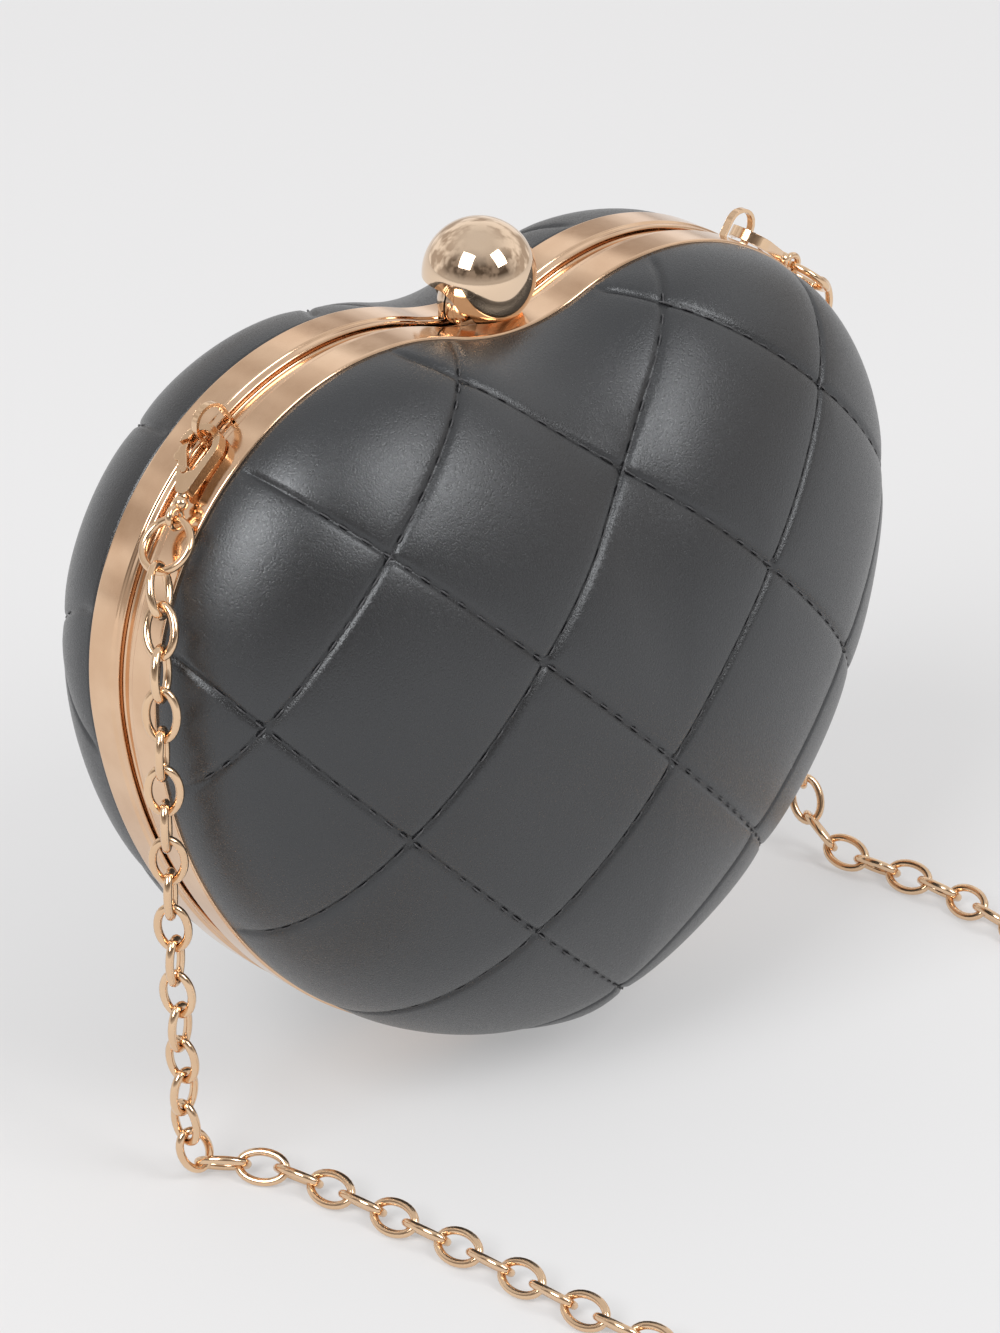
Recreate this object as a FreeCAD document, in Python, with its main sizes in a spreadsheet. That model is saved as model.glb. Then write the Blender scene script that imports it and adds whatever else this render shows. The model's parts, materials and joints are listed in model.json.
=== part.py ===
import FreeCAD, Part
import math
import os
import re
import Sketcher

# Heart shaped hard-shell purse that stands on its rounded tip.
# X runs across the heart, the front faces -Y and Z points up.
# The halves meet in the plane y = 0 and the hinge under the tip rests on z = 0.

V = FreeCAD.Vector
doc = FreeCAD.newDocument("heart_purse")
sheet = doc.addObject("Spreadsheet::Sheet", "Sizes")

SIZES = [
    # outline of the frame, made of tangent arcs
    ("lobe_offset", 28.5), ("lobe_rise", 82.0), ("lobe_radius", 46.5), ("side_radius", 88.0),
    ("tip_radius", 18.0), ("cleft_radius", 38.0),
    # frame bands, groove between them, locating lip and ledge for the shells
    ("frame_half", 8.0), ("groove_half", 1.2), ("band_wall", 1.3), ("lip_clearance", 0.3),
    ("lip_wall", 1.2), ("lip_reach", 2.0), ("ledge_inset", 6.3), ("ledge_thickness", 1.4),
    # domed halves: outer depth, curve of the profile and the layers
    ("dome_depth", 36.0), ("dome_round", 2.0), ("dome_fullness", 2.1), ("dome_centre", 57.0),
    ("cover_inset", 0.4), ("cover_thickness", 2.6), ("shell_thickness", 2.0),
    ("lining_thickness", 0.8), ("glue_line", 0.15),
    # quilting seams: place at the mouth, depth behind it that their planes fan out from, and channel
    ("seam_offset", 2.4), ("seam_spacing", 28.5), ("seam_fan", 150.0), ("seam_width", 0.9), ("seam_depth", 0.6),
    # hinge under the tip
    ("knuckle_radius", 1.4), ("knuckle_length", 3.0), ("knuckle_gap", 0.2), ("hinge_pin_radius", 0.7),
    ("leaf_depth", 4.4), ("leaf_lift", 0.5), ("running_clearance", 0.05), ("hinge_relief", 0.15),
    # ball clasp in the cleft
    ("ball_radius", 9.0), ("ball_rise", 7.1), ("ball_shift", 1.4), ("ball_floor_gap", 1.5),
    ("lug_radius", 3.3), ("lug_length", 4.6), ("lug_shift", 2.8), ("lug_seam_half", 0.2),
    ("lug_crown", 4.4), ("lug_foot_width", 5.2), ("lug_foot_depth", 4.8), ("lug_foot_setback", 1.1),
    ("lug_clearance", 0.35), ("lug_pocket_flare", 1.6), ("clasp_pin_radius", 0.8), ("clasp_pin_setback", 1.75),
    ("clasp_pin_reach", 3.5),
    # strap eyelets in the groove
    ("eyelet_angle", 55.5), ("eyelet_radius", 3.2), ("eyelet_strip", 0.8), ("eyelet_width", 1.4),
    ("eyelet_rise", 2.4),
    # claw clasps
    ("claw_thickness", 2.2), ("claw_window", 2.3), ("claw_bar", 1.5), ("claw_neck_window", 0.9),
    ("claw_window_length", 3.55), ("claw_body_length", 7.15), ("claw_tail_radius", 1.5),
    ("claw_rise", 1.6), ("claw_gap", 0.7), ("left_claw_yaw", 19.0), ("left_claw_pitch", 6.0),
    ("right_claw_yaw", 0.0), ("right_claw_pitch", 2.0),
    ("lever_thickness", 1.0), ("lever_clearance", 0.15), ("lever_nub", 0.9), ("rivet_radius", 0.5),
    # swivel and ring at each end of the chain
    ("swivel_post", 0.7), ("swivel_knob", 1.2), ("swivel_knob_half", 0.96), ("swivel_eye_radius", 1.5),
    ("swivel_wire", 0.55),
    ("ring_radius", 4.2), ("ring_wire", 0.65), ("ring_sag", 6.0),
    # oval chain links
    ("link_length", 9.4), ("link_width", 6.2), ("link_wire", 1.35), ("link_slack", 0.3),
]
for row, (alias, value) in enumerate(SIZES, start=1):
    sheet.set("A%d" % row, alias)
    sheet.set("B%d" % row, str(value))
    sheet.setAlias("B%d" % row, alias)
doc.recompute()
ALIASES = {alias for alias, value in SIZES}


def size(alias):
    return float(sheet.get(alias))


def cells(text):
    """Expression text with every size name pointed at its cell."""
    return re.sub(r"[a-z][a-z_]+", lambda m: "Sizes." + m.group(0) if m.group(0) in ALIASES else m.group(0), text)


def bind(thing, **texts):
    for prop, text in texts.items():
        thing.setExpression(prop.replace("__", "."), cells(text))
    return thing


def at(thing, x="0", y="0", z="0"):
    return bind(thing, Placement__Base__x=x, Placement__Base__y=y, Placement__Base__z=z)


TIP = size("knuckle_radius")
CLEFT_TEXT = ("(knuckle_radius + lobe_rise - cleft_radius"
              " + sqrt((lobe_radius + cleft_radius)^2 - lobe_offset^2))")
MOUTH = size("frame_half")


# heart outline
def heart_circles():
    """Centres of the cleft, lobe, side and tip circles of the right half, in (x, z)."""
    lobe = (size("lobe_offset"), TIP + size("lobe_rise"))
    reach = size("lobe_radius") + size("cleft_radius")
    cleft = (0.0, lobe[1] + math.sqrt(reach ** 2 - lobe[0] ** 2))
    tip = (0.0, TIP + size("tip_radius"))
    to_lobe = size("side_radius") - size("lobe_radius")
    to_tip = size("side_radius") - size("tip_radius")
    gap = math.hypot(tip[0] - lobe[0], tip[1] - lobe[1])
    along = (to_lobe ** 2 - to_tip ** 2 + gap ** 2) / (2 * gap)
    across = math.sqrt(to_lobe ** 2 - along ** 2)
    ux = (tip[0] - lobe[0]) / gap
    uz = (tip[1] - lobe[1]) / gap
    side = (lobe[0] + ux * along + uz * across, lobe[1] + uz * along - ux * across)
    if side[0] > 0:
        # sides too round to leave a tip come down level, and a straight foot joins them
        level = TIP + size("side_radius")
        side = (lobe[0] - math.sqrt(to_lobe ** 2 - (level - lobe[1]) ** 2), level)
        tip = (side[0], tip[1])
    return cleft, lobe, side, tip


def step_out(start, through, distance):
    """Point at a distance from start, on the line from start away to through."""
    dx = through[0] - start[0]
    dz = through[1] - start[1]
    run = math.hypot(dx, dz)
    return (start[0] + dx / run * distance, start[1] + dz / run * distance)


def arc_middle(centre, first, last, radius):
    return step_out(centre, ((first[0] + last[0]) / 2, (first[1] + last[1]) / 2), radius)


def heart_wire(inset, y, share=1.0):
    """Outline moved in by inset, shrunk to a share about the dome's centre, in the plane y."""
    cleft, lobe, side, tip = heart_circles()
    r_cleft = size("cleft_radius") + inset
    r_lobe = size("lobe_radius") - inset
    r_side = size("side_radius") - inset
    r_tip = size("tip_radius") - inset
    p1 = step_out(cleft, lobe, r_cleft)
    p2 = step_out(side, lobe, r_side)
    p3 = step_out(side, tip, r_side)
    m_lobe = step_out(lobe, (lobe[0] + p1[0] + p2[0] - 2 * lobe[0], lobe[1] + p1[1] + p2[1] - 2 * lobe[1]), r_lobe)
    m_side = arc_middle(side, p2, p3, r_side)
    m_cleft = (0.0, cleft[1] - r_cleft)
    m_tip = (0.0, tip[1] - r_tip)
    middle = TIP + size("dome_centre")

    def put(p, turn=1.0):
        return V(turn * p[0] * share, y, middle + (p[1] - middle) * share)

    if tip[0] > 0:
        foot = Part.LineSegment(put(p3), put(p3, -1))
    else:
        foot = Part.Arc(put(p3), put(m_tip), put(p3, -1))
    arcs = [
        Part.Arc(put(p1, -1), put(m_cleft), put(p1)),
        Part.Arc(put(p1), put(m_lobe), put(p2)),
        Part.Arc(put(p2), put(m_side), put(p3)),
        foot,
        Part.Arc(put(p3, -1), put(m_side, -1), put(p2, -1)),
        Part.Arc(put(p2, -1), put(m_lobe, -1), put(p1, -1)),
    ]
    return Part.Wire([a.toShape() for a in arcs])


def heart_block(inset, y0, y1):
    return Part.Face(heart_wire(inset, y0)).extrude(V(0, y1 - y0, 0))


def feature(label, shape):
    thing = doc.addObject("Part::Feature", label)
    thing.Label = label
    thing.Shape = shape
    return thing


# frames
def back_frame():
    """Band with a lip that passes the seam into the front frame, and a ledge for the shell."""
    lip_start = size("band_wall") + size("lip_clearance")
    ledge = MOUTH - size("ledge_thickness")
    body = heart_block(0, size("groove_half"), MOUTH)
    body = body.fuse(heart_block(lip_start, -size("lip_reach"), MOUTH)).removeSplitter()
    body = body.cut(heart_block(lip_start + size("lip_wall"), -2 * size("lip_reach"), ledge))
    return body.cut(heart_block(size("ledge_inset"), 0, 2 * MOUTH))


def front_frame():
    ledge = MOUTH - size("ledge_thickness")
    body = heart_block(0, -MOUTH, -size("groove_half"))
    body = body.cut(heart_block(size("band_wall"), -ledge, 0))
    return body.cut(heart_block(size("ledge_inset"), -2 * MOUTH, 0))


KNUCKLES = 5
hinge_width = KNUCKLES * size("knuckle_length") + (KNUCKLES - 1) * size("knuckle_gap")
HINGE_TEXT = "(%d * knuckle_length + %d * knuckle_gap)" % (KNUCKLES, KNUCKLES - 1)
relief_radius = size("knuckle_radius") + size("hinge_relief")
relief_half = hinge_width / 2 + size("knuckle_gap")
hinge_relief = Part.makeCylinder(relief_radius, 2 * relief_half, V(-relief_half, 0, TIP), V(1, 0, 0))
feature("back_frame", back_frame().cut(hinge_relief))
feature("front_frame", front_frame().cut(hinge_relief))


# domed halves
DOME_STEPS = (0.0, 14.0, 28.0, 42.0, 56.0, 69.0, 79.0, 86.0)


def dome(inset, depth):
    """Solid dome over the outline, bulging to +y from the frame's edge."""
    wires = []
    for angle in DOME_STEPS:
        share = math.cos(math.radians(angle))
        rise = (1 - share ** size("dome_fullness")) ** (1 / size("dome_round"))
        wires.append(heart_wire(inset, MOUTH + depth * rise, share))
    return Part.makeLoft(wires, True, False)


def layer(start, thickness):
    """Dome shell of a thickness whose outer face lies a distance below the outermost face."""
    inset = size("cover_inset") + start
    depth = size("dome_depth") - start
    return dome(inset, depth).cut(dome(inset + thickness, depth - thickness))


def seat(origin, x_axis, y_axis):
    """Placement whose local X and Y run along two square directions."""
    z_axis = x_axis.cross(y_axis)
    return FreeCAD.Placement(FreeCAD.Matrix(
        x_axis.x, y_axis.x, z_axis.x, origin.x,
        x_axis.y, y_axis.y, z_axis.y, origin.y,
        x_axis.z, y_axis.z, z_axis.z, origin.z, 0, 0, 0, 1))


SEAM_TURNS = (-1, 0, 1, 2)


def seam_slab(lean, turn):
    """Thin slab in the plane of one seam, leaning out as its place on the mouth is further from the middle."""
    place = size("seam_offset") + turn * size("seam_spacing")
    square = V(lean, 0, 1).normalize()
    across = (square - V(0, 1, 0) * (place / size("seam_fan"))).normalize()
    reach = 2 * size("lobe_rise")
    slab = Part.makeBox(2 * reach, size("seam_width"), 2 * reach, V(-reach, -size("seam_width") / 2, -reach))
    slab.Placement = seat(V(0, MOUTH, TIP + size("dome_centre")) + square * place, V(1, 0, -lean).normalize(), across)
    return slab


def quilted(cover):
    """Cover with a sewn channel along every seam of both directions."""
    depth = size("seam_depth")
    core = dome(size("cover_inset") + depth, size("dome_depth") - depth)
    return cover.cut([seam_slab(lean, turn).cut(core) for lean in (1, -1) for turn in SEAM_TURNS])


shell_start = size("cover_thickness") + size("glue_line")
lining_start = shell_start + size("shell_thickness") + size("glue_line")
LAYERS = (
    ("cover", 0.0, size("cover_thickness")),
    ("shell", shell_start, size("shell_thickness")),
    ("lining", lining_start, size("lining_thickness")),
)
for name, start, thickness in LAYERS:
    half = layer(start, thickness)
    if name == "cover":
        half = quilted(half)
    feature("back_" + name, half)
    feature("front_" + name, half.mirror(V(0, 0, 0), V(0, 1, 0)))


# small bound solids
def block(name, length, width, height, x, y, z):
    thing = doc.addObject("Part::Box", name)
    bind(thing, Length=length, Width=width, Height=height)
    return at(thing, x, y, z)


def rod(name, radius, length, x, y, z, turn=None):
    """Cylinder along X unless another rotation is given."""
    thing = doc.addObject("Part::Cylinder", name)
    thing.Placement.Rotation = turn or FreeCAD.Rotation(V(0, 0, 1), V(1, 0, 0))
    bind(thing, Radius=radius, Height=length)
    return at(thing, x, y, z)


def fuse(name, pieces):
    thing = doc.addObject("Part::MultiFuse", name)
    thing.Shapes = pieces
    thing.Refine = True
    return thing


def cut(name, base, tool):
    thing = doc.addObject("Part::Cut", name)
    thing.Base = base
    thing.Tool = tool
    return thing


def common(name, pieces):
    thing = doc.addObject("Part::MultiCommon", name)
    thing.Shapes = pieces
    return thing


heart_solid = feature("heart_outline", heart_block(0, -MOUTH, MOUTH))

# hinge under the tip
for label, side, turns in (("back_hinge_leaf", 1, (0, 2, 4)), ("front_hinge_leaf", -1, (1, 3))):
    start = "(knuckle_radius + knuckle_gap)"
    plate_y = start if side > 0 else "-%s - leaf_depth" % start
    plate = block(label + "_plate", HINGE_TEXT, "leaf_depth", "tip_radius / 2",
                  "-%s / 2" % HINGE_TEXT, plate_y, "leaf_lift")
    arched = cut(label + "_arched", plate, heart_solid)
    pieces = [arched]
    for turn in turns:
        left = "%d * (knuckle_length + knuckle_gap) - %s / 2" % (turn, HINGE_TEXT)
        pieces.append(rod("%s_knuckle%d" % (label, turn), "knuckle_radius", "knuckle_length",
                          left, "0", "knuckle_radius"))
        web_y = "0" if side > 0 else "-" + start
        pieces.append(block("%s_web%d" % (label, turn), "knuckle_length", start, "knuckle_radius - leaf_lift",
                            left, web_y, "leaf_lift"))
    bore = rod(label + "_bore", "hinge_pin_radius + running_clearance", HINGE_TEXT + " + 2",
               "-%s / 2 - 1" % HINGE_TEXT, "0", "knuckle_radius")
    leaf = cut(label + "_bored", fuse(label + "_joined", pieces), bore)
    leaf.Label = label


def round_bar(label, radius, length, placement):
    """Turned pin: a circle padded along its own Z axis."""
    body = doc.addObject("PartDesign::Body", label)
    body.Label = label
    plane = [o for o in body.Origin.OriginFeatures if o.Role == "XY_Plane"][0]
    sketch = body.newObject("Sketcher::SketchObject", label + "_circle")
    sketch.AttachmentSupport = (plane, "")
    sketch.MapMode = "FlatFace"
    sketch.addGeometry(Part.Circle(V(0, 0, 0), V(0, 0, 1), 1.0), False)
    sketch.addConstraint(Sketcher.Constraint("Coincident", 0, 3, -1, 1))
    sketch.addConstraint(Sketcher.Constraint("Radius", 0, 1.0))
    sketch.setExpression("Constraints[1]", cells(radius))
    pad = body.newObject("PartDesign::Pad", label + "_length")
    pad.Profile = sketch
    bind(pad, Length=length)
    body.Placement = placement
    return body


ALONG_X = FreeCAD.Rotation(V(0, 0, 1), V(1, 0, 0))
pin = round_bar("hinge_pin", "hinge_pin_radius", HINGE_TEXT, FreeCAD.Placement(V(0, 0, 0), ALONG_X))
at(pin, "-%s / 2" % HINGE_TEXT, "0", "knuckle_radius")

# ball clasp
LUG_AXIS = CLEFT_TEXT + " + lug_radius"
lug_left = "-ball_shift - lug_shift - lug_length"
for label, side in (("clasp_front_lug", -1), ("clasp_back_lug", 1)):
    crown = doc.addObject("Part::Sphere", label + "_crown")
    crown.Placement.Rotation = ALONG_X
    bind(crown, Radius="lug_crown")
    at(crown, lug_left + " + lug_crown", "0", LUG_AXIS)
    barrel = common(label + "_barrel", [
        rod(label + "_bar", "lug_radius", "lug_length", lug_left, "0", LUG_AXIS), crown])
    foot = block(label + "_foot", "lug_length - lug_foot_setback", "lug_foot_width", "lug_radius + lug_foot_depth",
                 lug_left + " + lug_foot_setback", "-lug_foot_width / 2", CLEFT_TEXT + " - lug_foot_depth")
    side_y = "-2 * lug_radius" if side < 0 else "lug_seam_half"
    half = block(label + "_half", "lug_length", "2 * lug_radius - lug_seam_half", "2 * lug_radius + lug_foot_depth",
                 lug_left, side_y, CLEFT_TEXT + " - lug_foot_depth")
    trimmed = common(label + "_trimmed", [fuse(label + "_joined", [barrel, foot]), half])
    seated = cut(label + "_seated", trimmed, heart_solid)
    seated.Label = label
front_lug = doc.getObject("clasp_front_lug_seated")
front_lug.Label = "clasp_front_lug_blank"
pin_hole = rod("clasp_front_lug_hole", "clasp_pin_radius", "lug_length",
               "-ball_shift - lug_shift - lug_length / 2", "-clasp_pin_setback", LUG_AXIS)
cut("clasp_front_lug_drilled", front_lug, pin_hole).Label = "clasp_front_lug"

ball = doc.addObject("Part::Sphere", "clasp_ball_sphere")
bind(ball, Radius="ball_radius")
at(ball, "-ball_shift", "0", CLEFT_TEXT + " + ball_rise")
notch_left = "-ball_shift - lug_shift + lug_clearance - 2 * ball_radius"
notch_top = rod("clasp_ball_notch_top", "lug_radius + lug_clearance", "2 * ball_radius", notch_left, "0", LUG_AXIS)
notch_foot = block("clasp_ball_notch_foot", "2 * ball_radius", "lug_radius + lug_pocket_flare", "2 * ball_radius",
                   notch_left, "-lug_radius - lug_pocket_flare", LUG_AXIS + " - 2 * ball_radius")
notch_back = block("clasp_ball_notch_back", "2 * ball_radius", "2 * ball_radius",
                   "2 * ball_radius + lug_radius + lug_clearance", notch_left, "0", LUG_AXIS + " - 2 * ball_radius")
sole = block("clasp_ball_sole", "4 * ball_radius", "4 * ball_radius", "4 * ball_radius",
             "-2 * ball_radius", "-2 * ball_radius", CLEFT_TEXT + " + ball_floor_gap - 4 * ball_radius")
socket = rod("clasp_ball_socket", "clasp_pin_radius + running_clearance",
             "clasp_pin_reach + running_clearance + lug_clearance",
             "-ball_shift - lug_shift", "-clasp_pin_setback", LUG_AXIS)
turned = cut("clasp_ball_turned", ball, fuse("clasp_ball_relief", [notch_top, notch_foot, notch_back, sole, socket]))
turned.Label = "clasp_ball"
clasp_pin = round_bar("clasp_pin", "clasp_pin_radius", "lug_length / 2 + clasp_pin_reach",
                      FreeCAD.Placement(V(0, 0, 0), ALONG_X))
at(clasp_pin, "-ball_shift - lug_shift - lug_length / 2", "-clasp_pin_setback", LUG_AXIS)


# strap ends
def capsule(x1, r1, x2, r2, low, high):
    """Prism over two circles on the local X axis and their common tangents."""
    lean = math.asin((r1 - r2) / (x2 - x1))
    s = math.sin(lean)
    c = math.cos(lean)
    a1 = V(x1 + r1 * s, r1 * c, low)
    a2 = V(x2 + r2 * s, r2 * c, low)
    b1 = V(a1.x, -a1.y, low)
    b2 = V(a2.x, -a2.y, low)
    edges = [
        Part.LineSegment(a1, a2).toShape(), Part.Arc(a2, V(x2 + r2, 0, low), b2).toShape(),
        Part.LineSegment(b2, b1).toShape(), Part.Arc(b1, V(x1 - r1, 0, low), a1).toShape(),
    ]
    return Part.Face(Part.Wire(edges)).extrude(V(0, 0, high - low))


window_x = size("claw_bar") / 2 + size("claw_window")
neck_x = window_x + size("claw_window_length")
tail_x = window_x + size("claw_body_length")
pivot_x = neck_x + size("claw_neck_window")
pivot_y = size("claw_neck_window")
claw_half_width = size("claw_window") + size("claw_bar")
gate_reach = math.hypot(pivot_x - window_x, claw_half_width - pivot_y)
post_start = tail_x + size("swivel_post") / 2
tail_end = tail_x + size("claw_tail_radius")
half_claw = size("claw_thickness") / 2
half_lever = size("lever_thickness") / 2
FAR = 4 * size("claw_window")


def claw_plate(half):
    """Teardrop plate with its window, of a given half thickness."""
    plate = capsule(window_x, claw_half_width, tail_x, size("claw_tail_radius"), -half, half)
    return plate.cut(capsule(window_x, size("claw_window"), neck_x, size("claw_neck_window"), -half, half))


def claw_body():
    """Hook with an open gate, a slot for the lever and a bore for the swivel."""
    slot = half_lever + size("lever_clearance")
    lever_room = pivot_x + size("claw_neck_window") + size("lever_clearance")
    body = claw_plate(half_claw)
    gate = Part.makeCylinder(gate_reach, 2 * FAR, V(pivot_x, pivot_y, -FAR))
    gate = gate.common(Part.makeBox(2 * FAR, FAR, 2 * FAR, V(neck_x - 2 * FAR, size("lever_clearance"), -FAR)))
    body = body.cut(gate)
    body = body.cut(Part.makeBox(lever_room - neck_x, 2 * FAR, 2 * slot, V(neck_x, -size("claw_neck_window"), -slot)))
    bore = Part.makeCylinder(size("swivel_post") + size("running_clearance"), FAR, V(post_start, 0, 0), V(1, 0, 0))
    hole = Part.makeCylinder(size("rivet_radius"), 2 * FAR, V(pivot_x, pivot_y, -FAR))
    return body.cut(bore).cut(hole)


def claw_lever():
    """Bar that closes the gate, with a thumb nub and an eye for the rivet."""
    gap = size("lever_clearance")
    bar = claw_plate(half_lever)
    bar = bar.common(Part.makeCylinder(gate_reach - gap, 2 * FAR, V(pivot_x, pivot_y, -FAR)))
    bar = bar.common(Part.makeBox(2 * FAR, FAR, 2 * FAR, V(pivot_x - 2 * FAR, 2 * gap, -FAR)))
    eye = Part.makeCylinder(size("claw_neck_window"), 2 * half_lever, V(pivot_x, pivot_y, -half_lever))
    nub_x = (window_x + neck_x) / 2
    nub_y = claw_half_width - size("lever_nub") / 2
    nub = Part.makeCylinder(size("lever_nub"), 2 * half_lever, V(nub_x, nub_y, -half_lever))
    hole = Part.makeCylinder(size("rivet_radius") + size("running_clearance"), 2 * FAR, V(pivot_x, pivot_y, -FAR))
    return bar.fuse([eye, nub]).removeSplitter().cut(hole)


def swivel():
    """Post in the claw's tail, turned knob and an eye for the ring."""
    knob_x = tail_end + size("running_clearance") + size("swivel_knob_half")
    eye_x = knob_x + size("swivel_knob_half") + size("swivel_eye_radius")
    post = Part.makeCylinder(size("swivel_post"), knob_x - post_start, V(post_start, 0, 0), V(1, 0, 0))
    knob = Part.makeSphere(size("swivel_knob"), V(knob_x, 0, 0))
    knob = knob.cut(Part.makeBox(FAR, 2 * FAR, 2 * FAR, V(tail_end + size("running_clearance") - FAR, -FAR, -FAR)))
    eye = Part.makeTorus(size("swivel_eye_radius"), size("swivel_wire"), V(eye_x, 0, 0), V(0, 1, 0))
    return post.fuse([knob, eye]).removeSplitter(), eye_x


cleft_c, lobe_c, side_c, tip_c = heart_circles()
swivel_shape, eye_x = swivel()
claw_body_shape = claw_body()
claw_lever_shape = claw_lever()
strap_end = {}
for name, side in (("left", -1), ("right", 1)):
    angle = math.radians(size("eyelet_angle"))
    lobe = V(side * lobe_c[0], 0, lobe_c[1])
    out = V(side * math.cos(angle), 0, math.sin(angle))
    down = V(side * math.sin(angle), 0, -math.cos(angle))
    rim_point = lobe + out * size("lobe_radius")

    # eyelet: bent strip with two legs on the lip in the groove
    outer = size("eyelet_radius")
    inner = outer - size("eyelet_strip")
    legs = size("eyelet_rise") + size("band_wall") + 2 * size("lip_wall")
    wide = size("eyelet_width") / 2
    arch = Part.makeCylinder(outer, 2 * wide, V(0, 0, -wide))
    arch = arch.fuse(Part.makeBox(2 * outer, legs, 2 * wide, V(-outer, -legs, -wide)))
    arch = arch.cut(Part.makeCylinder(inner, 4 * wide, V(0, 0, -2 * wide)))
    arch = arch.cut(Part.makeBox(2 * inner, legs, 4 * wide, V(-inner, -legs, -2 * wide)))
    arch.Placement = seat(rim_point + out * size("eyelet_rise"), down, out)
    lip_top = heart_block(size("band_wall") + size("lip_clearance"), -2 * wide, 2 * wide)
    feature(name + "_eyelet", arch.cut(lip_top).removeSplitter())

    # claw: hooked round the eyelet's lower leg, lying along the rim
    yaw = math.radians(size(name + "_claw_yaw"))
    pitch = math.radians(size(name + "_claw_pitch"))
    level = down * math.cos(yaw) - V(0, 1, 0) * math.sin(yaw)
    along = level * math.cos(pitch) - out * math.sin(pitch)
    across = V(0, 1, 0) * math.cos(yaw) + down * math.sin(yaw)
    hook = rim_point + out * size("claw_rise") + down * (inner - size("claw_gap") - size("claw_bar") / 2)
    claw_place = seat(hook, along, across)
    for label, shape in (("claw_body", claw_body_shape), ("claw_lever", claw_lever_shape), ("swivel", swivel_shape)):
        feature("%s_%s" % (name, label), shape.copy()).Placement = claw_place
    rivet = round_bar(name + "_claw_rivet", "rivet_radius", "claw_thickness", claw_place)
    rivet.Placement = claw_place.multiply(FreeCAD.Placement(V(pivot_x, pivot_y, -half_claw), FreeCAD.Rotation()))
    thumb = along.cross(across)
    print(name, "lever pivot", claw_place.multVec(V(pivot_x, pivot_y, 0)), "axis", thumb)

    # ring: hangs in the swivel's eye, a little steeper than the claw
    sag = math.radians(size("ring_sag"))
    fall = along * math.cos(sag) - along.cross(across) * math.sin(sag) * (1 if thumb.dot(out) > 0 else -1)
    grip = size("swivel_eye_radius") - size("swivel_wire") - size("ring_wire") - size("running_clearance")
    eye = claw_place.multVec(V(eye_x, 0, 0))
    ring_centre = eye + fall * (grip + size("ring_radius"))
    ring = doc.addObject("Part::Torus", name + "_ring")
    ring.Label = name + "_ring"
    bind(ring, Radius1="ring_radius", Radius2="ring_wire")
    ring.Placement = seat(ring_centre, fall, across)
    strap_end[name] = (ring_centre + fall * size("ring_radius"), across)


# chain
def link_solid():
    """Oval link bent from wire: six-sided wire round eight straight sides."""
    bend = (size("link_width") - size("link_wire")) / 2
    straight = (size("link_length") - size("link_wire")) / 2 - bend
    path = []
    for end in (1, -1):
        for step in (-67.5, -22.5, 22.5, 67.5):
            a = math.radians(step)
            corner = bend / math.cos(math.radians(22.5))
            path.append(V(end * (straight + corner * math.cos(a)), end * corner * math.sin(a), 0))
    count = len(path)
    sections = []
    for i, here in enumerate(path):
        before = (here - path[i - 1]).normalize()
        after = (path[(i + 1) % count] - here).normalize()
        mitre = (before + after).normalize()
        outward = V(mitre.y, -mitre.x, 0)
        stretch = 1 / mitre.dot(before)
        ring = []
        for k in range(6):
            a = math.radians(30 + 60 * k)
            r = size("link_wire") / 2
            ring.append(here + outward * (r * math.cos(a) * stretch) + V(0, 0, r * math.sin(a)))
        sections.append(ring)
    faces = []
    for i in range(count):
        one = sections[i]
        two = sections[(i + 1) % count]
        for k in range(6):
            n = (k + 1) % 6
            faces.append(Part.Face(Part.makePolygon([one[k], two[k], two[n], one[n], one[k]])))
    solid = Part.makeSolid(Part.makeShell(faces))
    if solid.Volume < 0:
        solid.reverse()
    return solid


def rounded_route(points):
    """Straight runs joined by tangent arcs, as a list of (kind, data, length)."""
    pieces = []
    start = points[0]
    for i in range(1, len(points) - 1):
        into = points[i] - points[i - 1]
        away = points[i + 1] - points[i]
        turn = into.getAngle(away)
        reach = 0.45 * min(into.Length, away.Length)
        radius = reach / math.tan(turn / 2)
        a = points[i] - V(into).normalize() * reach
        b = points[i] + V(away).normalize() * reach
        pieces.append(("run", (start, a), (a - start).Length))
        normal = V(into).cross(away).normalize()
        centre = a + normal.cross(V(into).normalize()) * radius
        pieces.append(("bend", (centre, a - centre, normal, radius), radius * turn))
        start = b
    pieces.append(("run", (start, points[-1]), (points[-1] - start).Length))
    return pieces


def route_point(pieces, distance):
    """Position and direction at a distance along the route."""
    for kind, data, length in pieces[:-1]:
        if distance <= length:
            break
        distance -= length
    else:
        kind, data, length = pieces[-1]
    if kind == "run":
        direction = (data[1] - data[0]).normalize()
        return data[0] + direction * distance, direction
    centre, arm, normal, radius = data
    turn = FreeCAD.Rotation(normal, math.degrees(distance / radius))
    spoke = turn.multVec(arm)
    return centre + spoke, normal.cross(spoke).normalize()


floor_rise = (size("link_width") - size("link_wire")) / 2 * math.sin(math.radians(45)) + size("link_wire") / 2
left_hang = [V(-77.4, -13.2, 98.5), V(-79.0, -14.8, 90.5), V(-79.4, -15.0, 80.0), V(-78.4, -14.2, 67.0),
             V(-76.8, -12.8, 52.0), V(-75.2, -11.5, 36.0), V(-73.8, -10.6, 22.0), V(-71.6, -10.4, 10.5)]
left_floor = [(-64.4, -15.2), (-59.9, -25.8), (-58.2, -37.0), (-57.0, -47.8), (-54.8, -59.0), (-53.4, -72.0),
              (-52.2, -84.0)]
loop = [(-49.5, -104.0), (-42.0, -130.0), (-24.0, -153.0), (4.0, -164.0), (34.0, -158.0), (58.0, -140.0),
        (73.0, -114.0), (79.5, -84.0), (79.6, -60.0)]
right_floor = [(78.6, -45.0), (80.0, -34.0), (78.8, -23.0), (75.8, -12.5)]
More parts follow.
